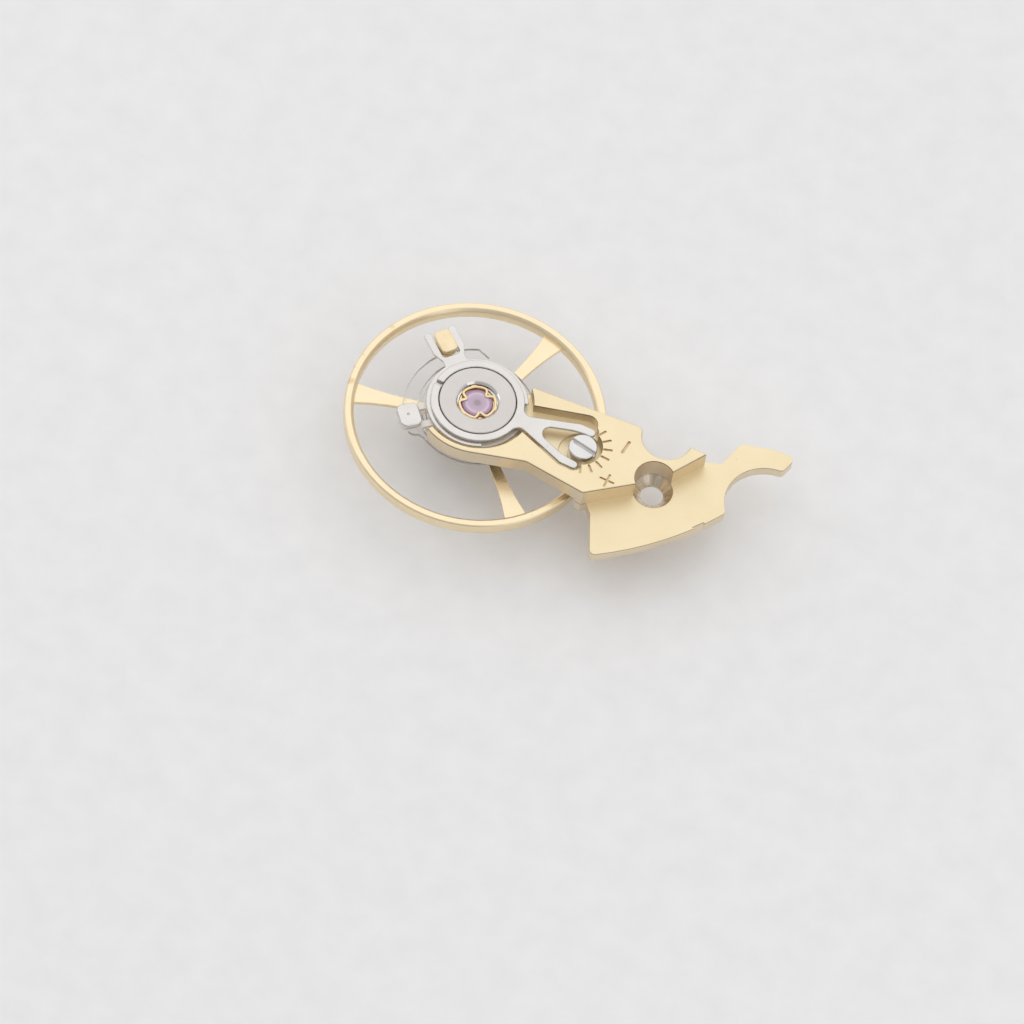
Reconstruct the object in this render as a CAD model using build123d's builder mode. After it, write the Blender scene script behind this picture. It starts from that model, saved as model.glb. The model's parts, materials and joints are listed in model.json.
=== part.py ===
from build123d import *
from math import atan2, cos, degrees, dist, radians, sin, sqrt
import os

# Balance wheel of a watch movement, complete with cock, shock setting and regulator.
# Millimetres. X and Y are zero on the cock screw's axis, Z is zero on the foot's seating face.
# X runs from the balance axis through the eccentric screw to the cock screw.

# Layout
screw_offset = 2.40
eccentric_setback = 3.00
movement_radius = 12.80
movement_bearing = 140.5
foot_reach = 2.13

# Cock
cock_height = 1.32
foot_thickness = 0.47
arm_thickness = 0.70
head_floor_thickness = 0.22
edge_bevel = 0.03
head_setback = 0.04
head_rim_width = 0.20
recess_clearance = 0.20
rim_start_bearing = -72.6
rim_end_bearing = 241
head_corner_radius = 0.50
step_corner_radius = 0.15
foot_corner_radius = 0.20
hook_bend_radius = 0.30
screw_hole_radius = 0.44
counterbore_radius = 0.78
screw_land = 0.10
wheel_clearance = 0.30
train_cut_radius = 0.96
train_cut_corner = 0.25
train_cut_x = -0.34
train_cut_y = 1.88
clamp_cut_radius = 1.62
clamp_cut_x = 4.09
clamp_cut_y = 1.48
lift_ramp_width = 0.50
lift_ramp_depth = 0.08
lift_ramp_bearing = -35.3
steady_pin_radius = 0.28
steady_pin_length = 0.55
steady_pin_seat = 0.30
steady_pin_taper = 4
steady_pin_distance = 2.40
steady_pin_bearings = {"steady_pin_front": -103, "steady_pin_rear": 38}

# Regulator parts, stacked on the recess floor round the shock block
ring_gap = 0.02
ring_clearance = 0.03
regulator_thickness = 0.14
regulator_ring_width = 0.41
regulator_bearing = 221
stud_holder_thickness = 0.12
stud_holder_ring_width = 0.46
stud_bearing = 140
stud_holder_ends = (160, 246)
corrector_thickness = 0.13
corrector_ring_width = 0.31
ring_split = 0.17

# Corrector tail and eccentric screw
corrector_bearing = -0.8
prong_width = 0.34
prong_tip_length = 0.46
crotch_radius = 0.30
tail_root_radius = 0.30
eccentric_head_radius = 0.55
eccentric_throw = 0.08
eccentric_stem_radius = 0.28
eccentric_rivet_radius = 0.38
eccentric_rivet_height = 0.04
eccentric_head_proud = 0.02
fork_clearance = 0.08
tail_clearance = 0.12
tail_recess_corner = 0.42
pocket_radius = 0.83
pocket_depth = 0.08
screw_slot_width = 0.17
screw_slot_depth = 0.16
screw_slot_bearing = -10

# Stud and the fork that holds it
terminal_offset = 0.83
fork_overreach = 0.72
fork_slot_depth = 0.51
fork_slot_width = 0.70
fork_prong_width = 0.29
fork_neck_width = 0.90
fork_neck_setback = 0.12
fork_corner_radius = 0.13
stud_length = 0.98
stud_width = 0.66
stud_corner_radius = 0.17
stud_head_height = 0.14
stud_head_offset = 0.09
stud_flange_radius = 0.42
stud_flange_height = 0.08
stud_post_width = 0.36
fit_clearance = 0.015

# Regulator's arm and pin
regulator_arm_width = 1.04
regulator_arm_overreach = 0.30
window_length = 0.32
window_width = 0.50
window_corner_radius = 0.08
pin_block_length = 0.82
pin_block_width = 0.98
pin_block_height = 0.24
pin_block_offset = -0.09
pin_block_corner_radius = 0.20
pin_journal_radius = 0.20
pin_flange_radius = 0.30
pin_flange_height = 0.08
pin_leg_gap = 0.08
pin_leg_thickness = 0.11
pin_leg_width = 0.26
pin_leg_overreach = 0.03
block_edge_bevel = 0.04

# Shock setting
block_radius = 1.46
block_spigot_radius = 1.15
block_opening_radius = 0.77
block_bevel = 0.09
lip_thickness = 0.11
staff_opening_radius = 0.32
shock_spring_thickness = 0.06
shock_lobe_count = 3
shock_spring_width = 0.09
shock_spring_radius = 0.74
shock_spring_ear = 0.09
shock_spring_ear_width = 0.24
lobe_depth = 0.22
lobe_width = 0.20
lobe_bearing = 66
cap_jewel_radius = 0.60
cap_jewel_thickness = 0.14
cap_seat_depth = 0.08
hole_jewel_radius = 0.40
hole_jewel_thickness = 0.12
oil_gap = 0.04
jewel_bevel = 0.03
oil_cup_radius = 0.18
oil_cup_depth = 0.06
setting_radius = 0.70
setting_foot_radius = 0.47
setting_foot_height = 0.10
setting_cone_height = 0.08
setting_opening_radius = 0.22
setting_lip = 0.04
setting_clearance = 0.01

# Balance wheel
rim_gap = 0.30
wheel_radius = 5.00
rim_width = 0.37
rim_height = 0.48
rim_inner_bevel = 0.12
rim_outer_bevel = 0.05
wheel_arm_count = 3
wheel_arm_bearing = 74.6
wheel_arm_thickness = 0.18
wheel_arm_drop = 0.25
wheel_arm_neck_width = 0.33
wheel_arm_waist_width = 0.43
wheel_arm_root_width = 0.86
wheel_arm_waist_radius = 2.70
hub_radius = 0.74
hub_bore_radius = 0.30

# Staff and roller
pivot_radius = 0.045
pivot_length = 0.20
pivot_cone_length = 0.10
pivot_clearance = 0.010
end_shake = 0.010
staff_neck_radius = 0.14
collet_seat_radius = 0.20
rivet_radius = 0.38
rivet_height = 0.05
staff_flange_radius = 0.52
staff_flange_height = 0.16
roller_seat_radius = 0.20
lower_staff_length = 1.61
lower_neck_length = 0.34
roller_table_radius = 0.80
roller_table_thickness = 0.14
roller_tube_radius = 0.34
roller_tube_length = 0.46
safety_roller_radius = 0.42
safety_roller_thickness = 0.13
safety_notch_radius = 0.16
impulse_jewel_radius = 0.11
impulse_jewel_distance = 0.62
impulse_jewel_length = 0.48
impulse_bearing = 97

# Hairspring and collet
spring_gap = 0.10
ribbon_height = 0.11
ribbon_thickness = 0.030
coil_turns = 12.5
terminal_gap = 0.42
spiral_end_bearing = 240
knee_bearing = 225.5
terminal_kink_bearing = 113.5
kink_radius = 0.10
kink_angle = 42
tail_end_length = 0.50
collet_radius = 0.50
collet_height = 0.15
collet_slit = 0.06
collet_slit_bearing = 150
ribbon_clearance = 0.01

overrun = 0.50

# Heights that follow from the sizes above
underside = cock_height - arm_thickness
recess_floor = underside + head_floor_thickness
regulator_bottom = recess_floor + ring_gap
regulator_top = regulator_bottom + regulator_thickness
stud_holder_bottom = regulator_top + ring_gap
stud_holder_top = stud_holder_bottom + stud_holder_thickness
corrector_bottom = stud_holder_top + ring_gap
block_top = corrector_bottom + corrector_thickness
shock_spring_top = block_top - lip_thickness - setting_clearance
shock_spring_bottom = shock_spring_top - shock_spring_thickness
cap_jewel_top = shock_spring_bottom - setting_clearance
cap_jewel_bottom = cap_jewel_top - cap_jewel_thickness
hole_jewel_top = cap_jewel_bottom - oil_gap
hole_jewel_bottom = hole_jewel_top - hole_jewel_thickness
setting_bottom = hole_jewel_bottom - setting_lip
pocket_floor = recess_floor - pocket_depth
ribbon_top = underside - spring_gap
ribbon_bottom = ribbon_top - ribbon_height
collet_bottom = ribbon_bottom - (collet_height - ribbon_height) / 2
rim_top = underside - rim_gap
wheel_arm_top = rim_top - wheel_arm_drop
wheel_arm_bottom = wheel_arm_top - wheel_arm_thickness
staff_flange_bottom = wheel_arm_bottom - staff_flange_height
roller_tube_bottom = staff_flange_bottom - roller_table_thickness - roller_tube_length
staff_top = cap_jewel_bottom - end_shake
staff_bottom = wheel_arm_bottom - lower_staff_length

# Distances and radii that follow
screw_distance = wheel_radius + screw_offset
eccentric_distance = screw_distance - eccentric_setback
ring_bore_radius = block_radius + ring_clearance
regulator_radius = ring_bore_radius + regulator_ring_width
stud_holder_radius = ring_bore_radius + stud_holder_ring_width
corrector_radius = ring_bore_radius + corrector_ring_width
terminal_radius = stud_holder_radius + terminal_offset
head_radius = regulator_radius - head_setback
ring_recess_radius = stud_holder_radius + recess_clearance
head_rim_radius = ring_recess_radius + head_rim_width
pivot_hole_radius = pivot_radius + pivot_clearance
rim_inner_radius = wheel_radius - rim_width
spiral_start_radius = collet_radius + ribbon_thickness / 2
spiral_end_radius = terminal_radius - terminal_gap

# The corrector's prongs spread from the middle of its ring, then run straight past the eccentric head
prong_root_x = (ring_bore_radius + corrector_radius) / 2
prong_bend_x = eccentric_distance - prong_tip_length
prong_spread = eccentric_head_radius + fork_clearance + prong_width / 2
prong_angle = degrees(atan2(prong_spread, prong_bend_x - prong_root_x))
crotch_x = prong_root_x + prong_width / 2 / sin(radians(prong_angle))

# Planes on the balance axis
balance_plane = Plane(origin=(-screw_distance, 0, 0))
section_plane = Plane(origin=(-screw_distance, 0, 0), x_dir=(1, 0, 0), z_dir=(0, -1, 0))
balance_axis = Axis((-screw_distance, 0, 0), (0, 0, 1))


def polar(radius, bearing):
    return radius * cos(radians(bearing)), radius * sin(radians(bearing))


def turned_plane(bearing, height):
    """A level plane on the balance axis whose X points along the bearing."""
    return balance_plane.rotated((0, 0, bearing)).offset(height)


def spread(shares, size):
    return [(x * size, y * size) for x, y in shares]


def on_circle(shapes, centre, radius):
    """The vertices that lie on a circle."""
    return shapes.filter_by(lambda v: abs(dist((v.X, v.Y), centre) - radius) < radius / 1000)


def near(shapes, *points):
    """The shapes nearest to each of the given points."""
    return [shapes.sort_by_distance(Vector(x, y))[0] for x, y in points]


def tail_prongs(width):
    """The corrector's two prongs, drawn with the given width."""
    for side in (1, -1):
        root = Vector(prong_root_x, 0)
        bend = Vector(prong_bend_x, side * prong_spread)
        tip = Vector(eccentric_distance, side * prong_spread)
        SlotCenterPoint((root + bend) / 2, bend, width)
        SlotCenterPoint((bend + tip) / 2, tip, width)


def save(builder, name):
    builder.part.label = name
    export_step(builder.part, f"parts/{name}.step")


os.makedirs("parts", exist_ok=True)

# Balance cock
# Outlines: the bridge in shares of the distance from the balance axis to the cock screw,
# the foot in shares of its reach from the screw to the movement's edge
bridge_shares = [
    (0, 0), (0.223, 0.203), (0.954, 0.261), (1.174, 0.260), (1.020, 0.003),
    (0.707, -0.250), (0.374, -0.217),
]
foot_shares = [
    (-0.995, -0.750), (-0.784, -0.967), (-0.347, -1.944), (2.746, -1.042), (2.746, 1.814),
    (1.620, 1.814), (1.000, 1.636), (0.855, 1.067), (0.610, 1.004), (0.069, 0.010),
]
tail_recess_shares = [(0.370, 0.155), (1.005, 0.341), (1.050, 0.160), (1, 0), (0.370, -0.068)]
bridge_points = spread(bridge_shares, screw_distance)
foot_points = spread(foot_shares, foot_reach)
tail_recess_points = spread(tail_recess_shares, eccentric_distance)
step_corner, head_corner = bridge_points[-2:]
hook_bends = foot_points[6:8]
eccentric_axis_x = eccentric_distance - eccentric_throw
movement_centre = polar(movement_radius - foot_reach, movement_bearing)
ramp_plane = Plane(
    origin=(*movement_centre, 0),
    x_dir=(*polar(1, lift_ramp_bearing), 0),
    z_dir=(*polar(1, lift_ramp_bearing - 90), 0),
)
train_cut_centre = (screw_distance + train_cut_x, train_cut_y)
steady_pin_points = {
    name: polar(steady_pin_distance, bearing) for name, bearing in steady_pin_bearings.items()
}

with BuildPart() as balance_cock:
    with BuildSketch(Plane.XY):
        Polygon(*foot_points, align=None)
        fillet(near(vertices(), *hook_bends), hook_bend_radius)
        with Locations(movement_centre):
            Circle(movement_radius, mode=Mode.INTERSECT)
        with Locations((clamp_cut_x, clamp_cut_y)):
            Circle(clamp_cut_radius, mode=Mode.SUBTRACT)
        fillet(on_circle(vertices(), movement_centre, movement_radius), foot_corner_radius)
    extrude(amount=foot_thickness)
    with BuildSketch(ramp_plane):
        Polygon(
            (movement_radius, 0),
            (movement_radius + overrun, 0),
            (movement_radius + overrun, foot_thickness),
            (movement_radius - lift_ramp_depth, foot_thickness),
            align=None,
        )
    extrude(amount=lift_ramp_width / 2, both=True, mode=Mode.SUBTRACT)
    with BuildSketch(balance_plane):
        with BuildLine():
            rim_start = polar(head_rim_radius, rim_start_bearing)
            rim_end = polar(head_rim_radius, rim_end_bearing)
            Polyline(*bridge_points, rim_start)
            ThreePointArc(rim_start, polar(head_rim_radius, -90), rim_end)
            Line(rim_end, (0, 0))
        make_face()
        fillet(near(vertices(), head_corner), head_corner_radius)
        fillet(near(vertices(), step_corner), step_corner_radius)
        with Locations(train_cut_centre):
            Circle(train_cut_radius, mode=Mode.SUBTRACT)
        train_corners = on_circle(vertices(), train_cut_centre, train_cut_radius)
        fillet(train_corners.sort_by(Axis.X)[0], train_cut_corner)
    extrude(amount=cock_height)
    chamfer(faces().sort_by(Axis.Z)[-1].edges(), edge_bevel)
    with BuildSketch(balance_plane.offset(underside)):
        Circle(head_radius)
    extrude(amount=head_floor_thickness)
    with BuildSketch(balance_plane):
        Circle(wheel_radius + wheel_clearance)
    extrude(amount=underside, mode=Mode.SUBTRACT)
    with BuildSketch(balance_plane.offset(recess_floor)):
        Polygon(*tail_recess_points, align=None)
        fillet(near(vertices(), tail_recess_points[1]), tail_recess_corner)
        Circle(ring_recess_radius)
    extrude(amount=arm_thickness, mode=Mode.SUBTRACT)
    with BuildSketch(turned_plane(corrector_bearing, recess_floor)):
        tail_prongs(prong_width + 2 * tail_clearance)
        bend_points = [(prong_bend_x, prong_spread), (prong_bend_x, -prong_spread)]
        Polygon((prong_root_x, 0), *bend_points, align=None)
    extrude(amount=arm_thickness, mode=Mode.SUBTRACT)
    with BuildSketch(balance_plane.offset(pocket_floor)):
        with Locations((eccentric_axis_x, 0)):
            Circle(pocket_radius)
    extrude(amount=arm_thickness, mode=Mode.SUBTRACT)
    with BuildSketch(balance_plane):
        Circle(block_spigot_radius)
        with Locations((eccentric_axis_x, 0)):
            Circle(eccentric_stem_radius + fit_clearance)
    extrude(amount=cock_height, mode=Mode.SUBTRACT)
    with BuildSketch(Plane.XY.offset(foot_thickness)):
        Circle(counterbore_radius)
    extrude(amount=cock_height, mode=Mode.SUBTRACT)
    with BuildSketch(Plane.XZ):
        Polygon(
            (0, 0),
            (screw_hole_radius, 0),
            (screw_hole_radius, screw_land),
            (counterbore_radius, foot_thickness),
            (0, foot_thickness),
            align=None,
        )
    revolve(axis=Axis.Z, mode=Mode.SUBTRACT)
    with BuildSketch(Plane.XY):
        with Locations(*steady_pin_points.values()):
            Circle(steady_pin_radius)
    extrude(amount=steady_pin_seat, taper=steady_pin_taper, mode=Mode.SUBTRACT)
save(balance_cock, "balance_cock")

# Steady pins, each with a tapered shank pressed into the foot
for pin_name, pin_point in steady_pin_points.items():
    with BuildPart() as steady_pin:
        with BuildSketch(Plane.XY) as pin_sketch:
            with Locations(pin_point):
                Circle(steady_pin_radius)
        extrude(amount=steady_pin_seat, taper=steady_pin_taper)
        extrude(pin_sketch.sketch, amount=-steady_pin_length)
        chamfer(faces().sort_by(Axis.Z)[0].edges(), edge_bevel)
    save(steady_pin, pin_name)

# Shock block, pressed into the cock's head
groove_radius = shock_spring_radius + shock_spring_ear + setting_clearance
setting_seat = setting_bottom + setting_foot_height
setting_shoulder = setting_seat + setting_cone_height
with BuildPart() as shock_block:
    with BuildSketch(section_plane):
        Polygon(
            (staff_opening_radius, underside),
            (block_spigot_radius, underside),
            (block_spigot_radius, recess_floor),
            (block_radius, recess_floor),
            (block_radius, block_top),
            (block_opening_radius + block_bevel, block_top),
            (block_opening_radius, block_top - block_bevel),
            (block_opening_radius, block_top - lip_thickness),
            (groove_radius, block_top - lip_thickness),
            (groove_radius, cap_jewel_top),
            (setting_radius + setting_clearance, cap_jewel_top),
            (setting_radius + setting_clearance, setting_shoulder - setting_clearance),
            (setting_foot_radius + setting_clearance, setting_seat - setting_clearance),
            (setting_foot_radius + setting_clearance, setting_bottom - setting_clearance),
            (staff_opening_radius, setting_bottom - setting_clearance),
            align=None,
        )
    revolve(axis=balance_axis)
    chamfer(edges().filter_by(GeomType.CIRCLE).sort_by(Axis.Z).group_by(SortBy.RADIUS)[-1][-1], edge_bevel)
save(shock_block, "shock_block")

# Shock spring, a flat ring bent inwards into three lobes
with BuildPart() as shock_spring:
    with BuildSketch(turned_plane(lobe_bearing, shock_spring_bottom)):
        lobe_centre = shock_spring_radius - lobe_depth - lobe_width / 2
        Circle(shock_spring_radius)
        with PolarLocations(shock_spring_radius, shock_lobe_count, start_angle=180):
            Rectangle(2 * shock_spring_ear, shock_spring_ear_width)
        with PolarLocations(0, shock_lobe_count):
            with Locations((lobe_centre + shock_spring_radius / 2, 0)):
                Rectangle(shock_spring_radius, lobe_width, mode=Mode.SUBTRACT)
            with Locations((lobe_centre, 0)):
                Circle(lobe_width / 2, mode=Mode.SUBTRACT)
    extrude(amount=shock_spring_thickness)
    with BuildSketch(turned_plane(lobe_bearing, shock_spring_bottom)):
        lobe_room = lobe_width + 2 * shock_spring_width
        Circle(shock_spring_radius - shock_spring_width)
        with PolarLocations(0, shock_lobe_count):
            with Locations((lobe_centre + shock_spring_radius / 2, 0)):
                Rectangle(shock_spring_radius, lobe_room, mode=Mode.SUBTRACT)
            with Locations((lobe_centre, 0)):
                Circle(lobe_room / 2, mode=Mode.SUBTRACT)
    extrude(amount=shock_spring_thickness, mode=Mode.SUBTRACT)
save(shock_spring, "shock_spring")

# Cap jewel
with BuildPart() as cap_jewel:
    with BuildSketch(balance_plane.offset(cap_jewel_bottom)):
        Circle(cap_jewel_radius)
    extrude(amount=cap_jewel_thickness)
    chamfer(faces().sort_by(Axis.Z)[-1].edges(), jewel_bevel)
save(cap_jewel, "cap_jewel")

# Hole jewel, with its oil cup towards the staff
with BuildPart() as hole_jewel:
    with BuildSketch(section_plane):
        Polygon(
            (pivot_hole_radius, hole_jewel_top),
            (hole_jewel_radius, hole_jewel_top),
            (hole_jewel_radius, hole_jewel_bottom),
            (oil_cup_radius, hole_jewel_bottom),
            (pivot_hole_radius, hole_jewel_bottom + oil_cup_depth),
            align=None,
        )
    revolve(axis=balance_axis)
save(hole_jewel, "hole_jewel")

# Jewel setting, a cup that carries both jewels on a cone in the block
with BuildPart() as jewel_setting:
    with BuildSketch(section_plane):
        Polygon(
            (setting_opening_radius, setting_bottom),
            (setting_foot_radius, setting_bottom),
            (setting_foot_radius, setting_seat),
            (setting_radius, setting_shoulder),
            (setting_radius, cap_jewel_bottom + cap_seat_depth),
            (cap_jewel_radius, cap_jewel_bottom + cap_seat_depth),
            (cap_jewel_radius, cap_jewel_bottom),
            (hole_jewel_radius, cap_jewel_bottom),
            (hole_jewel_radius, hole_jewel_bottom),
            (setting_opening_radius, hole_jewel_bottom),
            align=None,
        )
    revolve(axis=balance_axis)
save(jewel_setting, "jewel_setting")

# Regulator
with BuildPart() as regulator:
    with BuildSketch(turned_plane(regulator_bearing, regulator_bottom)):
        arm_reach = terminal_radius + regulator_arm_overreach
        with Locations((arm_reach / 2, 0)):
            Rectangle(arm_reach, regulator_arm_width)
        fillet(vertices().group_by(Axis.X)[-1], pin_block_corner_radius)
        Circle(regulator_radius)
        Circle(ring_bore_radius, mode=Mode.SUBTRACT)
        with Locations((-regulator_radius, 0)):
            Rectangle(regulator_radius, ring_split, mode=Mode.SUBTRACT)
        block_end = terminal_radius + pin_block_offset - pin_block_length / 2
        with Locations(((regulator_radius + block_end) / 2, 0)):
            RectangleRounded(window_length, window_width, window_corner_radius, mode=Mode.SUBTRACT)
        with Locations((terminal_radius, 0)):
            Circle(pin_journal_radius + fit_clearance, mode=Mode.SUBTRACT)
    extrude(amount=regulator_thickness)
save(regulator, "regulator")

# Regulator pin, a block whose two legs straddle the hairspring
with BuildPart() as regulator_pin:
    with BuildSketch(turned_plane(regulator_bearing, regulator_top + ring_gap)):
        with Locations((terminal_radius + pin_block_offset, 0)):
            RectangleRounded(pin_block_length, pin_block_width, pin_block_corner_radius)
    extrude(amount=pin_block_height)
    chamfer(faces().sort_by(Axis.Z)[-1].edges(), block_edge_bevel)
    with BuildSketch(turned_plane(regulator_bearing, regulator_top + ring_gap)):
        with Locations((terminal_radius, 0)):
            Circle(pin_journal_radius)
    extrude(amount=-(regulator_thickness + 2 * ring_gap))
    with BuildSketch(turned_plane(regulator_bearing, regulator_bottom - ring_gap)):
        with Locations((terminal_radius, 0)):
            Circle(pin_flange_radius)
    extrude(amount=-pin_flange_height)
    with BuildSketch(turned_plane(regulator_bearing, regulator_bottom - ring_gap - pin_flange_height)):
        with Locations((terminal_radius, 0)):
            Rectangle(pin_leg_gap + 2 * pin_leg_thickness, pin_leg_width)
            Rectangle(pin_leg_gap, pin_leg_width, mode=Mode.SUBTRACT)
    leg_bottom = ribbon_bottom - pin_leg_overreach
    extrude(amount=-(regulator_bottom - ring_gap - pin_flange_height - leg_bottom))
save(regulator_pin, "regulator_pin")

# Stud holder
with BuildPart() as stud_holder:
    with BuildSketch(turned_plane(stud_bearing, stud_holder_bottom)):
        fork_width = fork_slot_width + 2 * fork_prong_width
        fork_reach = terminal_radius + fork_overreach
        fork_slot_start = terminal_radius - fork_slot_depth
        shoulder_start = fork_slot_start - fork_neck_setback
        shoulder_end = fork_slot_start + fork_prong_width
        Polygon(
            (0, fork_neck_width / 2),
            (shoulder_start, fork_neck_width / 2),
            (shoulder_end, fork_width / 2),
            (fork_reach, fork_width / 2),
            (fork_reach, -fork_width / 2),
            (shoulder_end, -fork_width / 2),
            (shoulder_start, -fork_neck_width / 2),
            (0, -fork_neck_width / 2),
            align=None,
        )
        Circle(stud_holder_radius)
        for side in (1, -1):
            fillet(near(vertices(), (shoulder_end, side * fork_width / 2)), fork_prong_width)
        with Locations((fork_slot_start + fork_reach / 2, 0)):
            RectangleRounded(fork_reach, fork_slot_width, fork_corner_radius, mode=Mode.SUBTRACT)
        fillet(vertices().group_by(Axis.X)[-1], fork_corner_radius)
        Circle(ring_bore_radius, mode=Mode.SUBTRACT)
        far = 2 * stud_holder_radius
        free_start, free_end = stud_holder_ends
        free_middle = (free_start + free_end) / 2
        Polygon(
            (0, 0), polar(far, free_start), polar(far, free_middle), polar(far, free_end),
            align=None, mode=Mode.SUBTRACT,
        )
    extrude(amount=stud_holder_thickness)
save(stud_holder, "stud_holder")

# Stud, held by its neck in the fork, with a slot for the hairspring in its foot
stud_foot = ribbon_bottom - pin_leg_overreach
with BuildPart() as stud:
    with BuildSketch(turned_plane(stud_bearing, stud_holder_top + ring_gap)):
        with Locations((terminal_radius + stud_head_offset, 0)):
            RectangleRounded(stud_length, stud_width, stud_corner_radius)
    extrude(amount=stud_head_height)
    chamfer(faces().sort_by(Axis.Z)[-1].edges(), edge_bevel)
    with BuildSketch(turned_plane(stud_bearing, stud_holder_top + ring_gap)):
        with Locations((terminal_radius, 0)):
            Circle(fork_slot_width / 2 - fit_clearance)
    extrude(amount=-(stud_holder_thickness + 2 * ring_gap))
    with BuildSketch(turned_plane(stud_bearing, stud_holder_bottom - ring_gap)):
        with Locations((terminal_radius, 0)):
            Circle(stud_flange_radius)
    extrude(amount=-stud_flange_height)
    with BuildSketch(turned_plane(stud_bearing, stud_foot)):
        with Locations((terminal_radius, 0)):
            Rectangle(stud_post_width, stud_post_width)
    extrude(amount=stud_holder_bottom - ring_gap - stud_flange_height - stud_foot)
    with BuildSketch(turned_plane(stud_bearing, stud_foot)):
        with Locations((terminal_radius, 0)):
            Rectangle(ribbon_thickness + 2 * ribbon_clearance, stud_post_width + overrun)
    extrude(amount=ribbon_top + ribbon_clearance - stud_foot, mode=Mode.SUBTRACT)
save(stud, "stud")

# Regulator corrector
with BuildPart() as regulator_corrector:
    with BuildSketch(turned_plane(corrector_bearing, corrector_bottom)):
        tail_prongs(prong_width)
        fillet(near(vertices(), (crotch_x, 0)), crotch_radius)
        Circle(corrector_radius)
        joins = near(vertices(), polar(corrector_radius, prong_angle), polar(corrector_radius, -prong_angle))
        fillet(joins, tail_root_radius)
        Circle(ring_bore_radius, mode=Mode.SUBTRACT)
        with Locations((-corrector_radius, 0)):
            Rectangle(corrector_radius, ring_split, mode=Mode.SUBTRACT)
    extrude(amount=corrector_thickness)
save(regulator_corrector, "regulator_corrector")

# Eccentric screw, whose head lies off its turning axis
with BuildPart() as eccentric_screw:
    with BuildSketch(balance_plane.offset(cock_height + eccentric_head_proud)):
        with Locations((eccentric_distance, 0)):
            Circle(eccentric_head_radius)
    extrude(amount=-(cock_height + eccentric_head_proud - pocket_floor))
    chamfer(faces().sort_by(Axis.Z)[-1].edges(), block_edge_bevel)
    with BuildSketch(balance_plane.offset(cock_height + eccentric_head_proud)):
        with Locations(Location((eccentric_distance, 0), screw_slot_bearing)):
            Rectangle(2 * eccentric_head_radius + overrun, screw_slot_width)
    extrude(amount=-screw_slot_depth, mode=Mode.SUBTRACT)
    with BuildSketch(balance_plane.offset(pocket_floor)):
        with Locations((eccentric_axis_x, 0)):
            Circle(eccentric_stem_radius)
    extrude(amount=-(pocket_floor - underside))
    with BuildSketch(balance_plane.offset(underside)):
        with Locations((eccentric_axis_x, 0)):
            Circle(eccentric_rivet_radius)
    extrude(amount=-eccentric_rivet_height)
save(eccentric_screw, "eccentric_screw")

# Balance wheel
with BuildPart() as balance_wheel:
    with BuildSketch(turned_plane(wheel_arm_bearing, wheel_arm_bottom)):
        with BuildLine():
            side_line = Line(
                (0, wheel_arm_neck_width / 2), (wheel_arm_waist_radius, wheel_arm_waist_width / 2)
            )
            flare = TangentArc(
                side_line @ 1, (rim_inner_radius, wheel_arm_root_width / 2), tangent=side_line % 1
            )
            Line(flare @ 1, (rim_inner_radius + rim_width / 2, wheel_arm_root_width / 2))
            mirror(about=Plane.XZ)
            Line((0, -wheel_arm_neck_width / 2), (0, wheel_arm_neck_width / 2))
            Line(
                (rim_inner_radius + rim_width / 2, -wheel_arm_root_width / 2),
                (rim_inner_radius + rim_width / 2, wheel_arm_root_width / 2),
            )
        make_face()
    arm_sketch = extrude(amount=wheel_arm_thickness, mode=Mode.PRIVATE)
    add([arm_sketch.rotate(balance_axis, turn * 360 / wheel_arm_count) for turn in range(wheel_arm_count)])
    with BuildSketch(balance_plane.offset(wheel_arm_bottom)):
        Circle(hub_radius)
    extrude(amount=wheel_arm_thickness)
    with BuildSketch(section_plane):
        Polygon(
            (rim_inner_radius, rim_top - rim_height),
            (wheel_radius, rim_top - rim_height),
            (wheel_radius, rim_top - rim_outer_bevel),
            (wheel_radius - rim_outer_bevel, rim_top),
            (rim_inner_radius + rim_inner_bevel, rim_top),
            (rim_inner_radius, rim_top - rim_inner_bevel),
            align=None,
        )
    revolve(axis=balance_axis)
    with BuildSketch(balance_plane.offset(wheel_arm_bottom)):
        Circle(hub_bore_radius)
    extrude(amount=wheel_arm_thickness, mode=Mode.SUBTRACT)
save(balance_wheel, "balance_wheel")

# Balance staff, turned in one piece from pivot to pivot
neck_top = setting_bottom - pivot_cone_length
lower_pivot_top = staff_bottom + pivot_length
with BuildPart() as balance_staff:
    with BuildSketch(section_plane):
        Polygon(
            (0, staff_bottom),
            (pivot_radius, staff_bottom),
            (pivot_radius, lower_pivot_top),
            (staff_neck_radius, lower_pivot_top + pivot_cone_length),
            (staff_neck_radius, staff_bottom + pivot_length + lower_neck_length),
            (roller_seat_radius, staff_bottom + pivot_length + lower_neck_length),
            (roller_seat_radius, staff_flange_bottom),
            (staff_flange_radius, staff_flange_bottom),
            (staff_flange_radius, wheel_arm_bottom),
            (hub_bore_radius, wheel_arm_bottom),
            (hub_bore_radius, wheel_arm_top),
            (rivet_radius, wheel_arm_top),
            (rivet_radius, wheel_arm_top + rivet_height),
            (collet_seat_radius, wheel_arm_top + rivet_height),
            (collet_seat_radius, collet_bottom + collet_height),
            (staff_neck_radius, collet_bottom + collet_height),
            (staff_neck_radius, neck_top),
            (pivot_radius, setting_bottom),
            (pivot_radius, staff_top),
            (0, staff_top),
            align=None,
        )
    revolve(axis=balance_axis)
save(balance_staff, "balance_staff")

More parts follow.
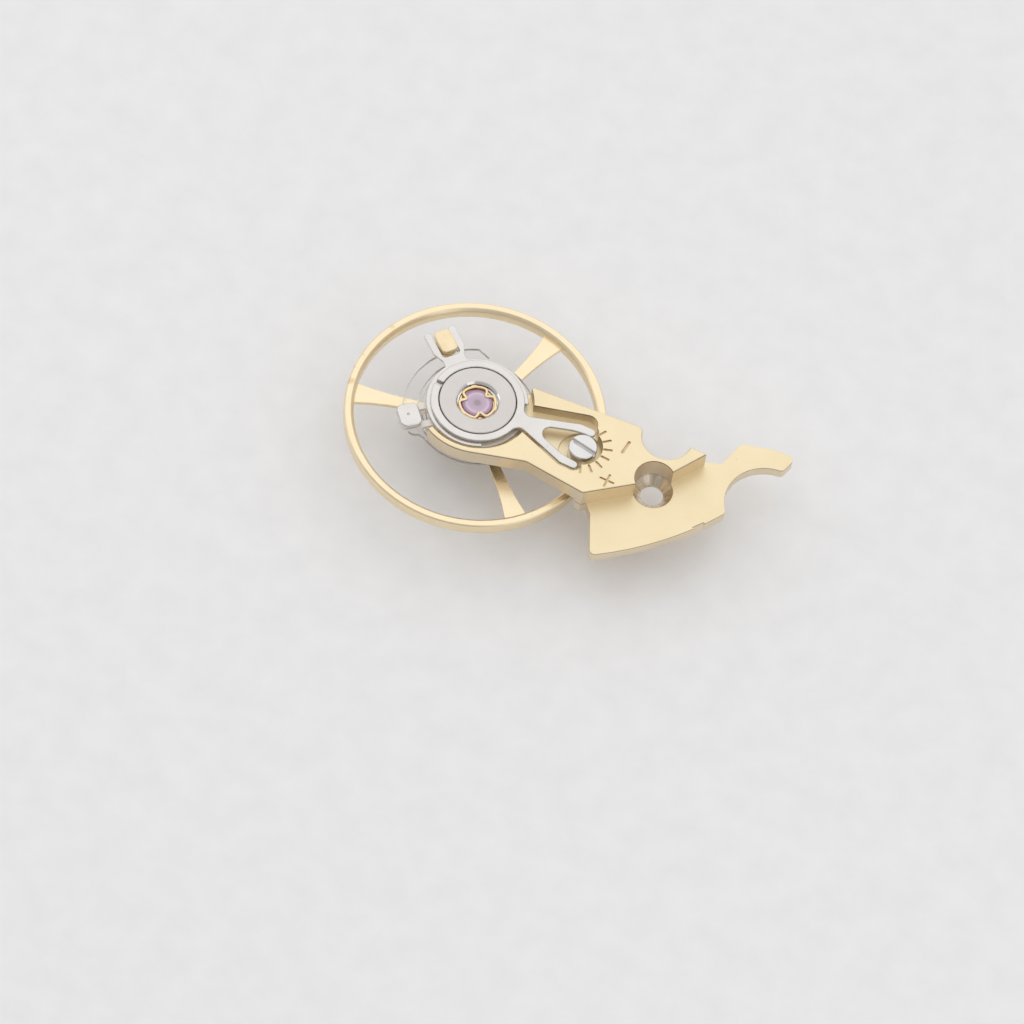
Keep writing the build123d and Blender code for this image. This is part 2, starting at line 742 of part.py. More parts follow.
# Double roller
with BuildPart() as double_roller:
    with BuildSketch(turned_plane(impulse_bearing, staff_flange_bottom)):
        Circle(roller_table_radius)
    extrude(amount=-roller_table_thickness)
    with BuildSketch(turned_plane(impulse_bearing, staff_flange_bottom)):
        Circle(roller_tube_radius)
    extrude(amount=-(roller_table_thickness + roller_tube_length))
    with BuildSketch(turned_plane(impulse_bearing, roller_tube_bottom)):
        Circle(safety_roller_radius)
        with Locations((safety_roller_radius + safety_notch_radius / 2, 0)):
            Circle(safety_notch_radius, mode=Mode.SUBTRACT)
    extrude(amount=safety_roller_thickness)
    with BuildSketch(turned_plane(impulse_bearing, roller_tube_bottom)):
        Circle(roller_seat_radius)
        with Locations((impulse_jewel_distance, 0)):
            Circle(impulse_jewel_radius)
    extrude(amount=staff_flange_bottom - roller_tube_bottom, mode=Mode.SUBTRACT)
save(double_roller, "double_roller")

# Impulse jewel, a round pin with a flat on its outer side
with BuildPart() as impulse_jewel:
    with BuildSketch(turned_plane(impulse_bearing, staff_flange_bottom)):
        with Locations((impulse_jewel_distance, 0)):
            Circle(impulse_jewel_radius)
    extrude(amount=-impulse_jewel_length)
    with BuildSketch(turned_plane(impulse_bearing, staff_flange_bottom - roller_table_thickness)):
        with Locations((impulse_jewel_distance + impulse_jewel_radius, 0)):
            Rectangle(impulse_jewel_radius, 2 * impulse_jewel_radius)
    extrude(amount=-impulse_jewel_length, mode=Mode.SUBTRACT)
save(impulse_jewel, "impulse_jewel")

# Hairspring collet
with BuildPart() as hairspring_collet:
    with BuildSketch(turned_plane(collet_slit_bearing, collet_bottom)):
        Circle(collet_radius)
        Circle(collet_seat_radius, mode=Mode.SUBTRACT)
        with Locations((collet_radius, 0)):
            Rectangle(2 * collet_radius, collet_slit, mode=Mode.SUBTRACT)
    extrude(amount=collet_height)
save(hairspring_collet, "hairspring_collet")

# Hairspring, one ribbon swept along half turns, then along its outer arc through the stud
half_turns = round(2 * coil_turns)
half_gain = (spiral_end_radius - spiral_start_radius) / half_turns


def joint_between(start, start_way, end, end_way):
    """The point where two arcs meet that leave start and reach end in the given ways."""
    span = end - start
    along = span.dot(start_way + end_way)
    bend = 2 * (1 - start_way.dot(end_way))
    handle = (sqrt(along * along + bend * span.dot(span)) - along) / bend
    return (start + end + (start_way - end_way) * handle) / 2


with BuildPart() as hairspring:
    with BuildLine(balance_plane.offset((ribbon_bottom + ribbon_top) / 2)) as ribbon_path:
        for half in range(half_turns):
            inner_radius = spiral_start_radius + half * half_gain
            bearing = spiral_end_bearing + 180 * (half_turns - half)
            CenterArc(polar(half_gain / 2, bearing + 180), inner_radius + half_gain / 2, bearing, -180)
        knee_start = Vector(*polar(spiral_end_radius, spiral_end_bearing))
        knee_end = Vector(*polar(terminal_radius, knee_bearing))
        start_way = Vector(*polar(1, spiral_end_bearing - 90))
        end_way = Vector(*polar(1, knee_bearing - 90))
        knee_joint = joint_between(knee_start, start_way, knee_end, end_way)
        first_bend = TangentArc(tuple(knee_start), tuple(knee_joint), tangent=start_way)
        TangentArc(tuple(knee_joint), tuple(knee_end), tangent=first_bend % 1)
        outer_arc = CenterArc((0, 0), terminal_radius, knee_bearing, terminal_kink_bearing - knee_bearing)
        kink = JernArc(outer_arc @ 1, outer_arc % 1, kink_radius, -kink_angle)
        Line(kink @ 1, kink @ 1 + (kink % 1) * tail_end_length)
    path = ribbon_path.wire()
    with BuildSketch(Plane(path @ 0, x_dir=(0, 0, 1), z_dir=path % 0)):
        Rectangle(ribbon_height, ribbon_thickness)
    sweep(path=path)
save(hairspring, "hairspring")

# The hairspring's least gap to itself, between points of its path that lie far apart along it
sample_count = 1500
step = path.length / sample_count
apart = round(2 * collet_radius / step)
path_points = [path.position_at(index / sample_count) for index in range(sample_count + 1)]
gap_to_itself = min(
    dist((a.X, a.Y), (b.X, b.Y))
    for index, a in enumerate(path_points)
    for b in path_points[index + apart:]
) - ribbon_thickness
print(f"hairspring: length {path.length:.1f} mm, least gap to itself {gap_to_itself:.3f} mm")
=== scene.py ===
import bpy
import bmesh
import json
from math import cos, degrees, radians, sin
from mathutils import Matrix, Vector


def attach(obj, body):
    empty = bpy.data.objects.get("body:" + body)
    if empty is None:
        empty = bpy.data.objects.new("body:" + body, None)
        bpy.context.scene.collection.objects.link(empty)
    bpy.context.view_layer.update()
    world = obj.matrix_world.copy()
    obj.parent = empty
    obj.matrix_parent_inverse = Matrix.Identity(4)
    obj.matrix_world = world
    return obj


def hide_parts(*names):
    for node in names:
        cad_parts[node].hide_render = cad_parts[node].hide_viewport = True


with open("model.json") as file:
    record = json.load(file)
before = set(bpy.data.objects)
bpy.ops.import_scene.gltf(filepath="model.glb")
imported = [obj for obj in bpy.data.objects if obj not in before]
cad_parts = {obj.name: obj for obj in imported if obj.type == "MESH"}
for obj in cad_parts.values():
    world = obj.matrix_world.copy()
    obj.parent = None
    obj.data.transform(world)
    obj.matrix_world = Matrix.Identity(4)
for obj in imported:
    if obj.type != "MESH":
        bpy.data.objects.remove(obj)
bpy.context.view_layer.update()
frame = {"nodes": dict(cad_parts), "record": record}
nodes = frame["nodes"]
scene = bpy.context.scene
mm = 0.001
balanceCentre = Vector((-7.4, 0, 0)) * mm  # the staff's axis; the frame's zero is the cock screw's hole
print("frame:", len(nodes), "pieces")


# Materials. Every pattern is laid out in millimetres from the balance staff's axis.
def newMaterial(name):
    material = bpy.data.materials.new(name)
    material.use_nodes = True
    tree = material.node_tree
    shader = tree.nodes["Principled BSDF"]
    return material, tree, shader


def addNode(tree, kind, inputs=(), **settings):
    node = tree.nodes.new("ShaderNode" + kind)
    for key, value in settings.items():
        setattr(node, key, value)
    for socket, value in dict(inputs).items():
        if isinstance(value, bpy.types.NodeSocket):
            tree.links.new(value, node.inputs[socket])
        else:
            node.inputs[socket].default_value = value
    return node


def millimetres(tree):
    place = addNode(tree, "TexCoord").outputs["Object"]
    moved = addNode(tree, "VectorMath", {0: place, 1: balanceCentre}, operation="SUBTRACT")
    return addNode(tree, "VectorMath", {0: moved.outputs[0], "Scale": 1 / mm}, operation="SCALE").outputs[0]


def layout(tree, grain):
    place = millimetres(tree)
    if grain["way"] == "turned":  # rings round the staff
        parts = addNode(tree, "SeparateXYZ", {0: place})
        flat = addNode(tree, "CombineXYZ", {0: parts.outputs[0], 1: parts.outputs[1]})
        radius = addNode(tree, "VectorMath", {0: flat.outputs[0]}, operation="LENGTH")
        place = addNode(tree, "CombineXYZ", {0: radius.outputs["Value"], 2: parts.outputs[2]}).outputs[0]
        return addNode(tree, "Mapping", {0: place, "Scale": grain["scale"]}).outputs[0]
    turn = (0, 0, radians(grain.get("turn", 0)))
    return addNode(tree, "Mapping", {0: place, "Rotation": turn, "Scale": grain["scale"]}).outputs[0]


def ramp(tree, value, stops):
    node = addNode(tree, "ValToRGB", {0: value})
    bar = node.color_ramp.elements
    while len(bar) < len(stops):
        bar.new(0.5)
    for stop, (place, colour) in zip(bar, stops):
        stop.position = place
        stop.color = (*colour, 1)
    return node.outputs["Color"]


def mapped(tree, value, span, result=(0.0, 1.0)):
    inputs = {0: value, 1: span[0], 2: span[1], 3: result[0], 4: result[1]}
    return addNode(tree, "MapRange", inputs).outputs[0]


def softSpot(tree, place, spot):
    away = addNode(tree, "VectorMath", {0: place, 1: spot["centre"]}, operation="SUBTRACT").outputs[0]
    distance = addNode(tree, "VectorMath", {0: away}, operation="LENGTH").outputs["Value"]
    ragged = addNode(tree, "TexNoise", {0: place, "Scale": spot["grain"], "Detail": 3.0}).outputs["Fac"]
    near, far = spot["radius"] - spot["soft"], spot["radius"] + spot["soft"]
    edge = addNode(
        tree, "Math", {0: ragged, 1: spot["ragged"], 2: distance}, operation="MULTIPLY_ADD"
    ).outputs[0]
    shift = spot["ragged"] / 2
    return mapped(tree, edge, (near + shift, far + shift), (spot["strength"], 0.0))


def mixed(tree, share, first, second):
    return addNode(tree, "MixRGB", {0: share, 1: first, 2: second}).outputs[0]


# The walls, cut by milling, get a painted greyer reflection tint, and a painted dark shade line just under
# each top edge they meet
def paintedWallShade(tree, place, colour, walls):
    height = addNode(tree, "SeparateXYZ", {0: place}).outputs[2]
    normal = addNode(tree, "NewGeometry").outputs["True Normal"]
    facing = addNode(tree, "SeparateXYZ", {0: normal}).outputs[2]
    wall = mapped(tree, facing, walls["facing"], (1.0, 0.0))
    colour = addNode(
        tree, "MixRGB", {0: wall, 1: colour, 2: (*walls["tint"], 1)}, blend_type="MULTIPLY"
    ).outputs[0]
    for line in walls["lines"]:
        within = {0: height, 1: line["height"], 2: line["half"]}
        band = addNode(tree, "Math", within, operation="COMPARE").outputs[0]
        edge = addNode(tree, "Math", {0: wall, 1: band}, operation="MULTIPLY").outputs[0]
        colour = mixed(tree, edge, colour, (*line["colour"], 1))
    return colour


# Painted light and dark reflection streaks that run in towards a hole's middle, as a turned cone reflects
# them
def streaks(tree, place, spot):
    away = addNode(tree, "VectorMath", {0: place, 1: spot["centre"]}, operation="SUBTRACT").outputs[0]
    way = addNode(tree, "VectorMath", {0: away}, operation="NORMALIZE").outputs[0]
    level = addNode(tree, "Mapping", {0: way, "Scale": spot["streakScale"]}).outputs[0]
    noise = addNode(tree, "TexNoise", {0: level, "Scale": 1.0, "Detail": 4.0}).outputs["Fac"]
    return ramp(tree, noise, spot["tones"])


# How strongly the patterns show, the same in every metal
pattern = {
    "tones": (0.36, 0.62), "roughNoise": (0.3, 0.7), "speckNoise": (0.70, 0.78), "speckShare": 0.35,
    "speckDark": 0.6, "relief": 0.004 * mm,
}


def metal(name, finish):
    material, tree, shader = newMaterial(name)
    place = millimetres(tree)
    grain = addNode(tree, "TexNoise", {0: layout(tree, finish["grain"]), "Scale": 1.0, "Detail": 4.0})
    cloud = addNode(tree, "TexNoise", {0: place, "Scale": finish["cloud"], "Detail": 3.0})
    both = addNode(tree, "Math", {0: cloud.outputs["Fac"], 1: grain.outputs["Fac"]}, operation="ADD")
    tone = addNode(tree, "Math", {0: both.outputs[0], 1: 0.5}, operation="MULTIPLY")
    colour = ramp(tree, tone.outputs[0], list(zip(pattern["tones"], (finish["deep"], finish["pale"]))))
    rough = mapped(tree, grain.outputs["Fac"], pattern["roughNoise"], finish["rough"])
    specks = addNode(tree, "TexNoise", {0: place, "Scale": finish["specks"], "Detail": 2.0}).outputs["Fac"]
    speckShare = mapped(tree, specks, pattern["speckNoise"], (0.0, pattern["speckShare"]))
    dull = tuple(pattern["speckDark"] * part for part in finish["deep"])
    colour = mixed(tree, speckShare, colour, (*dull, 1))
    for spot in finish.get("spots", ()):
        share = softSpot(tree, place, spot)
        # A spot with tones gets painted reflection streaks and painted shade; the others take a plain
        # colour
        tint = streaks(tree, place, spot) if "tones" in spot else (*spot["colour"], 1)
        colour = mixed(tree, share, colour, tint)
        if "rough" in spot:
            rough = mixed(tree, share, rough, (spot["rough"],) * 3 + (1,))
    # Painted wall shade: a greyer reflection tint on the walls and dark shade lines under their top edges
    if "walls" in finish:
        colour = paintedWallShade(tree, place, colour, finish["walls"])
    bump = addNode(
        tree, "Bump",
        {"Strength": finish["relief"], "Distance": pattern["relief"], "Height": grain.outputs["Fac"]},
    )
    tree.links.new(colour, shader.inputs["Base Color"])
    tree.links.new(rough, shader.inputs["Roughness"])
    tree.links.new(bump.outputs[0], shader.inputs["Normal"])
    shader.inputs["Metallic"].default_value = 1.0
    return material


frosted = {"way": "flat", "scale": (46, 46, 46)}
fine = {"way": "flat", "scale": (30, 30, 30)}
turned = {"way": "turned", "scale": (34, 1, 12)}

# The screw hole's countersink is turned bright: a lower roughness, with painted light and dark reflection
# streaks and a painted darker shade tone
countersink = {
    "centre": (7.4, 0, 0.25), "radius": 0.80, "soft": 0.015, "ragged": 0.0, "grain": 4.0, "strength": 0.85,
    "rough": 0.22, "streakScale": (5, 5, 0.6),
    "tones": [(0.35, (0.54, 0.45, 0.33)), (0.5, (0.68, 0.57, 0.41)), (0.7, (0.92, 0.79, 0.57))],
}
# A painted greyer reflection tint on the walls, and painted dark shade lines just under the top edges
paintedWallSettings = {
    "facing": (0.5, 0.9), "tint": (0.95, 0.97, 1.10),
    "lines": [
        {"height": 1.290, "half": 0.027, "colour": (0.36, 0.27, 0.17)},  # painted shade line under the bridge's top
        {"height": 0.443, "half": 0.024, "colour": (0.50, 0.41, 0.26)},  # painted shade line under the foot's top
    ],
}
giltPlate = metal("gilt_plate", {
    "pale": (0.92, 0.785, 0.535), "deep": (0.87, 0.735, 0.485), "rough": (0.36, 0.5),
    "grain": frosted, "cloud": 0.7, "specks": 7.0, "relief": 0.45, "spots": [countersink],
    "walls": paintedWallSettings,
})
# Darker gilt for the engraved grooves: painted shade in the grooves
grooveShadeGilt = metal("groove_shade_gilt", {
    "pale": (0.80, 0.64, 0.40), "deep": (0.60, 0.45, 0.26), "rough": (0.4, 0.55),
    "grain": frosted, "cloud": 3.0, "specks": 7.0, "relief": 0.6,
})
# Small brown marks on the rim, left of the wheel's first arm
rimMarks = [
    {"centre": (-4.95, -0.29, 0.2), "radius": 0.09, "strength": 0.75},
    {"centre": (-4.82, -0.92, 0.25), "radius": 0.16, "strength": 0.5},
    {"centre": (-4.47, 2.02, 0.25), "radius": 0.12, "strength": 0.35},
    {"centre": (-4.88, 0.38, 0.25), "radius": 0.07, "strength": 0.5},
]
for mark in rimMarks:
    mark.update({"soft": 0.05, "ragged": 0.16, "grain": 9.0, "colour": (0.58, 0.40, 0.17)})
giltWheel = metal("gilt_wheel", {
    "pale": (0.96, 0.81, 0.56), "deep": (0.91, 0.76, 0.51), "rough": (0.24, 0.36),
    "grain": turned, "cloud": 0.9, "specks": 5.0, "relief": 0.1, "spots": rimMarks,
})
polishedSteel = metal("polished_steel", {
    "pale": (0.75, 0.735, 0.72), "deep": (0.69, 0.68, 0.67), "rough": (0.10, 0.20),
    "grain": turned, "cloud": 1.4, "specks": 9.0, "relief": 0.1,
})
polishedMouth = {
    "centre": (0, 0, 1.16), "radius": 0.86, "soft": 0.012, "ragged": 0.0, "grain": 4.0, "strength": 1.0,
    "rough": 0.1, "colour": (0.82, 0.80, 0.78),
}
satinSteel = metal("satin_steel", {
    "pale": (0.72, 0.685, 0.65), "deep": (0.67, 0.635, 0.605), "rough": (0.40, 0.52),
    "grain": turned, "cloud": 1.2, "specks": 9.0, "relief": 0.15, "spots": [polishedMouth],
})
brushedSteel = metal("brushed_steel", {
    "pale": (0.755, 0.725, 0.70), "deep": (0.685, 0.665, 0.64), "rough": (0.16, 0.28),
    "grain": fine, "cloud": 1.2, "specks": 8.0, "relief": 0.15,
})
goldSpring = metal("gold_spring", {
    "pale": (0.93, 0.78, 0.50), "deep": (0.84, 0.65, 0.36), "rough": (0.12, 0.24),
    "grain": fine, "cloud": 3.0, "specks": 8.0, "relief": 0.2,
})
studBrass = metal("stud_brass", {
    "pale": (0.92, 0.78, 0.54), "deep": (0.84, 0.67, 0.42), "rough": (0.28, 0.42),
    "grain": {"way": "flat", "scale": (60, 8, 60), "turn": 30}, "cloud": 2.5, "specks": 6.0, "relief": 0.4,
})
springAlloy = metal("spring_alloy", {
    "pale": (0.62, 0.60, 0.58), "deep": (0.48, 0.46, 0.44), "rough": (0.2, 0.35),
    "grain": turned, "cloud": 3.0, "specks": 8.0, "relief": 0.2,
})
# The regulator's ring lies deep under the corrector, where polished steel would mirror only the dark: so it
# is rough, and its colour is set paler than the other steels, painted light that lifts the shade there
dullSteelPaintedLight = metal("dull_steel_painted_light", {
    "pale": (0.94, 0.90, 0.85), "deep": (0.88, 0.84, 0.79), "rough": (0.68, 0.82),
    "grain": fine, "cloud": 1.2, "specks": 8.0, "relief": 0.2,
})

# The cap jewel's rings: the ruby's own pink, with painted highlights at the middle and at radius 0.42, and
# painted shade of the pivot's hole round the middle
rubyWithPaintedLight = {
    "rings": [  # from the pivot's cup at the middle out to the rim, by radius
        (0.0, (0.90, 0.84, 0.86)), (0.03, (0.40, 0.31, 0.36)), (0.08, (0.46, 0.36, 0.42)),
        (0.17, (0.66, 0.49, 0.62)), (0.34, (0.76, 0.56, 0.76)), (0.42, (0.90, 0.76, 0.87)),
        (0.48, (0.62, 0.42, 0.60)), (0.60, (0.48, 0.16, 0.34)),
    ],
    "cloud": 9.0, "rough": (0.03, 0.1), "bend": 1.77, "clear": 0.2,
}


def rubyMaterial(finish):
    material, tree, shader = newMaterial("ruby")
    parts = addNode(tree, "SeparateXYZ", {0: millimetres(tree)})
    flat = addNode(tree, "CombineXYZ", {0: parts.outputs[0], 1: parts.outputs[1]})
    radius = addNode(tree, "VectorMath", {0: flat.outputs[0]}, operation="LENGTH").outputs["Value"]
    colour = ramp(tree, radius, finish["rings"])
    cloud = addNode(tree, "TexNoise", {0: millimetres(tree), "Scale": finish["cloud"], "Detail": 2.0})
    rough = mapped(tree, cloud.outputs["Fac"], (0.0, 1.0), finish["rough"])
    tree.links.new(colour, shader.inputs["Base Color"])
    tree.links.new(rough, shader.inputs["Roughness"])
    shader.inputs["IOR"].default_value = finish["bend"]
    shader.inputs["Transmission Weight"].default_value = finish["clear"]
    return material


finishes = {
    "gilt_plate": giltPlate, "gilt_wheel": giltWheel, "polished_steel": polishedSteel,
    "brushed_steel": brushedSteel, "gold_spring": goldSpring, "stud_brass": studBrass,
    "spring_alloy": springAlloy, "ruby": rubyMaterial(rubyWithPaintedLight),
}
ownFinish = {"shock_block": satinSteel, "regulator": dullSteelPaintedLight}
slotOf = {row["node"]: row["material_slot"] for row in frame["record"]["subparts"]}
for name, piece in nodes.items():
    piece.data.materials.clear()
    piece.data.materials.append(ownFinish.get(name, finishes[slotOf[name]]))
print("materials:", len(finishes) + len(ownFinish))


# The engraved scale round the eccentric screw, its two signs and the pin block's dot, as hidden cutters
engravingSettings = {
    "centre": (4.33, -0.02), "ticks": 7, "firstBearing": -67.5, "step": 21.6,
    "from": 0.87, "to": 1.18, "tickWidth": 0.10, "signWidth": 0.12, "plusWidth": 0.09, "signLength": 0.56,
    "depth": 0.06, "top": 1.32, "minus": (5.85, 0.745), "minusBearing": 85, "plus": (5.83, -0.93),
    "tipShare": 0.6,  # a groove's outer end is blunter than its inner one
}
dotSettings = {
    "centre": (-2.07, -1.79), "top": 1.26, "radius": 0.09, "depth": 0.04, "sides": 20,
    "footShare": 0.3,  # the dot narrows to this share of its width below
}


def addPrism(mesh, outline, low, high, lowShare=1.0):
    middle = sum(outline, Vector((0, 0))) / len(outline)
    rings = []
    for height, share in ((low, lowShare), (high, 1.0)):
        shrunk = [middle + (corner - middle) * share for corner in outline]
        rings.append([mesh.verts.new(balanceCentre + Vector((p.x, p.y, height)) * mm) for p in shrunk])
    lower, upper = rings
    mesh.faces.new(lower[::-1])
    mesh.faces.new(upper)
    for i in range(len(outline)):
        j = (i + 1) % len(outline)
        mesh.faces.new((lower[i], lower[j], upper[j], upper[i]))


def addGroove(mesh, start, end, width, settings):
    start, end = Vector(start), Vector(end)
    way = (end - start).normalized() * width / 2
    side = Vector((-way.y, way.x))
    tip = end + way * settings["tipShare"]
    outline = [start + side, start - way, start - side, end - side, tip, end + side]
    addPrism(mesh, outline, settings["top"] - settings["depth"], settings["top"] + settings["depth"])


def objectFrom(mesh, name, material):
    bmesh.ops.recalc_face_normals(mesh, faces=mesh.faces)
    data = bpy.data.meshes.new(name)
    mesh.to_mesh(data)
    mesh.free()
    data.materials.append(material)
    made = bpy.data.objects.new(name, data)
    scene.collection.objects.link(made)
    return made


def hidden(cutter):
    cutter.hide_render = True
    cutter.hide_viewport = True
    return cutter


def scaleCutter(settings):
    mesh = bmesh.new()
    centre = Vector(settings["centre"])
    for i in range(settings["ticks"]):
        bearing = radians(settings["firstBearing"] + i * settings["step"])
        way = Vector((cos(bearing), sin(bearing)))
        start, end = centre + way * settings["from"], centre + way * settings["to"]
        addGroove(mesh, start, end, settings["tickWidth"], settings)
    half = settings["signLength"] / 2
    minus, turn = Vector(settings["minus"]), radians(settings["minusBearing"])
    way = Vector((cos(turn), sin(turn))) * half
    addGroove(mesh, minus - way, minus + way, settings["signWidth"], settings)
    plus = Vector(settings["plus"])
    for arm in (Vector((half, 0)), Vector((0, half))):
        addGroove(mesh, plus - arm, plus + arm, settings["plusWidth"], settings)
    # The scale's grooves take the darker gilt: painted shade in the grooves
    return hidden(objectFrom(mesh, "scale_cutter", grooveShadeGilt))


def dotCutter(settings):
    mesh = bmesh.new()
    turns = [radians(360 / settings["sides"] * i) for i in range(settings["sides"])]
    outline = [Vector(settings["centre"]) + Vector((cos(t), sin(t))) * settings["radius"] for t in turns]
    depth = settings["depth"]
    addPrism(mesh, outline, settings["top"] - depth, settings["top"] + depth, settings["footShare"])
    return hidden(objectFrom(mesh, "dot_cutter", satinSteel))


# Soft edges, so that each corner catches the light as a finished one does
cutters = {"balance_cock": scaleCutter(engravingSettings), "regulator_pin": dotCutter(dotSettings)}
softEdges = {
    "balance_cock": 0.014, "shock_block": 0.014, "stud_holder": 0.03,
    "stud": 0.014, "regulator": 0.02, "regulator_pin": 0.008,
    "eccentric_screw": 0.02, "balance_wheel": 0.014, "balance_staff": 0.01, "double_roller": 0.012,
    "cap_jewel": 0.01, "jewel_setting": 0.01, "hairspring_collet": 0.01,
}
edgeSettings = {
    "weld": 0.0001 * mm, "flat": radians(0.4), "corner": radians(35), "segments": 3,
    "crease": radians(40), "weight": 70,
}


def roundEdges(piece, width, cutter):
    piece.modifiers.new("weld", "WELD").merge_threshold = edgeSettings["weld"]
    flatten = piece.modifiers.new("flatten", "DECIMATE")
    flatten.decimate_type = "DISSOLVE"
    flatten.angle_limit = edgeSettings["flat"]
    bevel = piece.modifiers.new("soft_edge", "BEVEL")
    bevel.width = width * mm
    bevel.segments = edgeSettings["segments"]
    bevel.limit_method = "ANGLE"
    bevel.angle_limit = edgeSettings["corner"]
    bevel.use_clamp_overlap = False
    if cutter:
        cut = piece.modifiers.new("engraving", "BOOLEAN")
        cut.operation = "DIFFERENCE"
        cut.solver = "EXACT"
        cut.use_self = True
        cut.material_mode = "TRANSFER"
        cut.object = cutter
    split = piece.modifiers.new("crease", "EDGE_SPLIT")
    split.split_angle = edgeSettings["crease"]
    piece.modifiers.new("shade", "WEIGHTED_NORMAL").weight = edgeSettings["weight"]


for name, body in (("balance_cock", "cock"), ("regulator_pin", "regulator_pin")):
    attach(cutters[name], body)
for name, width in softEdges.items():
    roundEdges(nodes[name], width, cutters.get(name))
print("edges and engraving done")


# Shock spring: a wire ring with three beaks bent in over the jewel and three ears under the block's lip
shockSpring = {
    "radius": 0.690, "wire": 0.11, "height": 0.055, "bottom": 1.112, "stations": 288, "beakBearing": 66,
    "beaks": 3, "beakDepth": 0.25, "beakHalf": 23, "beakPower": 1.2, "ear": 0.08, "earHalf": 9,
    "earPower": 0.3, "round": 0.32,
}


def bump(bearing, first, count, half, power):
    away = (bearing - first + 180 / count) % (360 / count) - 180 / count
    if abs(away) >= half:
        return 0.0
    return cos(radians(90 * away / half)) ** (2 * power)


def springPoint(bearing, settings):
    beak = [settings[key] for key in ("beakBearing", "beaks", "beakHalf", "beakPower")]
    radius = settings["radius"] - settings["beakDepth"] * bump(bearing, *beak)
    turn = radians(bearing)
    return Vector((cos(turn), sin(turn))) * radius


def buildShockSpring(settings):
    mesh = bmesh.new()
    half, tall = settings["wire"] / 2, settings["height"]
    inset = settings["round"] * tall
    step = 360 / settings["stations"]
    rings = []
    for i in range(settings["stations"]):
        bearing = i * step
        before, centre, beyond = (springPoint(bearing + step * share, settings) for share in (-0.5, 0, 0.5))
        along = (beyond - before).normalized()
        out = Vector((along.y, -along.x))
        earBearing = settings["beakBearing"] + 180 / settings["beaks"]
        ear = settings["ear"] * bump(
            bearing, earBearing, settings["beaks"], settings["earHalf"], settings["earPower"]
        )
        profile = [
            (-half + inset, 0), (half + ear - inset, 0), (half + ear, inset), (half + ear, tall - inset),
            (half + ear - inset, tall), (-half + inset, tall), (-half, tall - inset), (-half, inset),
        ]
        ring = []
        for offset, rise in profile:
            spot = centre + out * offset
            place = Vector((spot.x, spot.y, settings["bottom"] + rise)) * mm
            ring.append(mesh.verts.new(balanceCentre + place))
        rings.append(ring)
    for i, ring in enumerate(rings):
        after = rings[(i + 1) % len(rings)]
        for k in range(len(ring)):
            m = (k + 1) % len(ring)
            face = mesh.faces.new((ring[k], after[k], after[m], ring[m]))
            face.smooth = True
    piece = objectFrom(mesh, "shock_spring_wire", goldSpring)
    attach(piece, "cock")
    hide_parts("shock_spring")


buildShockSpring(shockSpring)
print("shock spring done")

# The corrector's prongs sweep round in smooth curves, where its solid has a short bend in each
correctorBends = {"upright": 0.9, "least": 12, "most": 45, "reach": 0.38, "segments": 7, "edge": 0.052}


def buildCorrector(settings):
    mesh = bmesh.new()
    mesh.from_mesh(nodes["regulator_corrector"].data)
    bmesh.ops.remove_doubles(mesh, verts=mesh.verts, dist=edgeSettings["weld"])
    bmesh.ops.dissolve_limit(mesh, angle_limit=edgeSettings["flat"], verts=mesh.verts, edges=mesh.edges)
    bends = []
    for edge in mesh.edges:
        run = edge.verts[1].co - edge.verts[0].co
        upright = abs(run.z) > settings["upright"] * run.length
        if upright and settings["least"] < degrees(edge.calc_face_angle(0)) < settings["most"]:
            bends.append(edge)
    bmesh.ops.bevel(
        mesh, geom=bends, offset=settings["reach"] * mm, segments=settings["segments"],
        profile=0.5, affect="EDGES", clamp_overlap=False,
    )
    for face in mesh.faces:
        face.smooth = True
    print("corrector's bends:", len(bends))
    piece = objectFrom(mesh, "regulator_corrector_swept", brushedSteel)
    roundEdges(piece, settings["edge"], None)
    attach(piece, "corrector")
    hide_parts("regulator_corrector")


buildCorrector(correctorBends)

# Floor, lamps and world
floorSettings = {
    "size": 800 * mm, "height": -1.76 * mm, "rough": 0.8, "cloud": 0.8,
    "tones": [(0.3, (0.90, 0.892, 0.892)), (0.7, (0.94, 0.932, 0.932))],
}


def floorMaterial(settings):
    material, tree, shader = newMaterial("floor_paper")
    noise = addNode(tree, "TexNoise", {0: millimetres(tree), "Scale": settings["cloud"], "Detail": 5.0})
    tree.links.new(ramp(tree, noise.outputs["Fac"], settings["tones"]), shader.inputs["Base Color"])
    shader.inputs["Roughness"].default_value = settings["rough"]
    return material


bpy.ops.mesh.primitive_plane_add(size=floorSettings["size"], location=(0, 0, floorSettings["height"]))
floor = bpy.context.object
floor.name = "floor"
floor.data.materials.append(floorMaterial(floorSettings))

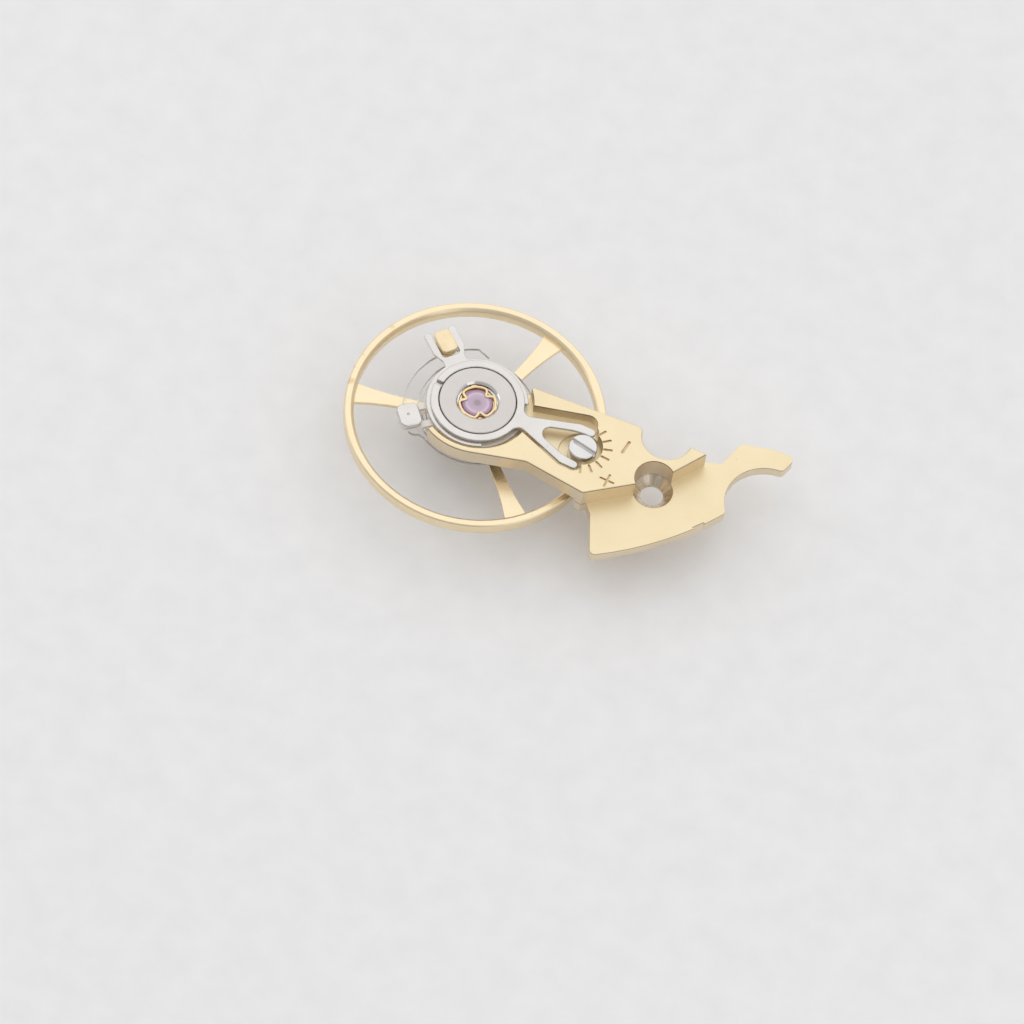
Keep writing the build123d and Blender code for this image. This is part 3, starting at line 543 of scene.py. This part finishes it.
lamps = {
    "softbox": {"from": (-0.147, 0.504, 0.851), "distance": 90, "size": 80, "power": 0.0042},
    "fill": {"from": (0.75, -0.45, 0.5), "distance": 100, "size": 50, "power": 0.004},
    "side": {"from": (-0.9, -0.1, 0.4), "distance": 100, "size": 40, "power": 0.004},
}
middle = Vector((-4.0, 0, 0)) * mm  # the middle of the part, which the lamps face
for name, lamp in lamps.items():
    light = bpy.data.lights.new(name, "AREA")
    light.size = lamp["size"] * mm
    light.energy = lamp["power"]
    holder = bpy.data.objects.new(name, light)
    scene.collection.objects.link(holder)
    way = Vector(lamp["from"]).normalized()
    holder.location = middle + way * lamp["distance"] * mm
    holder.rotation_mode = "QUATERNION"
    holder.rotation_quaternion = way.to_track_quat("Z", "Y")

skySettings = {
    "bright": (-0.1, 0.5, 0.86),  # the sky is brightest above and behind the part
    "reach": (-0.5, 1.0),
    "tones": [
        (0.0, (0.50, 0.50, 0.51)), (0.36, (0.44, 0.44, 0.45)), (0.62, (0.84, 0.84, 0.84)),
        (1.0, (0.92, 0.92, 0.92)),
    ],
}
world = bpy.data.worlds.new("studio")
scene.world = world
world.use_nodes = True
sky = world.node_tree
background = sky.nodes["Background"]
bright = Vector(skySettings["bright"]).normalized()
look = addNode(sky, "TexCoord").outputs["Generated"]
rise = addNode(sky, "VectorMath", {0: look, 1: bright}, operation="DOT_PRODUCT").outputs["Value"]
share = mapped(sky, rise, skySettings["reach"])
sky.links.new(ramp(sky, share, skySettings["tones"]), background.inputs["Color"])

# Camera, square to the photograph's picture
cameraSettings = {
    "azimuth": 16.25, "elevation": 58.3, "roll": 10.2, "lens": 380, "sensor": 36, "distance": 409.6,
    "target": (-4.644, -2.234, -1.480), "clip": (0.01, 10),
}


def placeCamera(settings):
    turn, lift, roll = (radians(settings[key]) for key in ("azimuth", "elevation", "roll"))
    level = Vector((cos(turn), sin(turn), 0))
    rise = Vector((-sin(turn) * sin(lift), cos(turn) * sin(lift), cos(lift)))
    right = level * cos(roll) + rise * sin(roll)
    up = rise * cos(roll) - level * sin(roll)
    back = right.cross(up)
    holder = bpy.data.objects.new("camera", bpy.data.cameras.new("camera"))
    scene.collection.objects.link(holder)
    holder.rotation_mode = "QUATERNION"
    holder.rotation_quaternion = Matrix((right, up, back)).transposed().to_quaternion()
    holder.location = (Vector(settings["target"]) + back * settings["distance"]) * mm
    holder.data.lens = settings["lens"]
    holder.data.sensor_width = settings["sensor"]
    holder.data.clip_start, holder.data.clip_end = settings["clip"]
    scene.camera = holder


placeCamera(cameraSettings)
scene.view_settings.view_transform = "Standard"
print("camera and lamps placed")
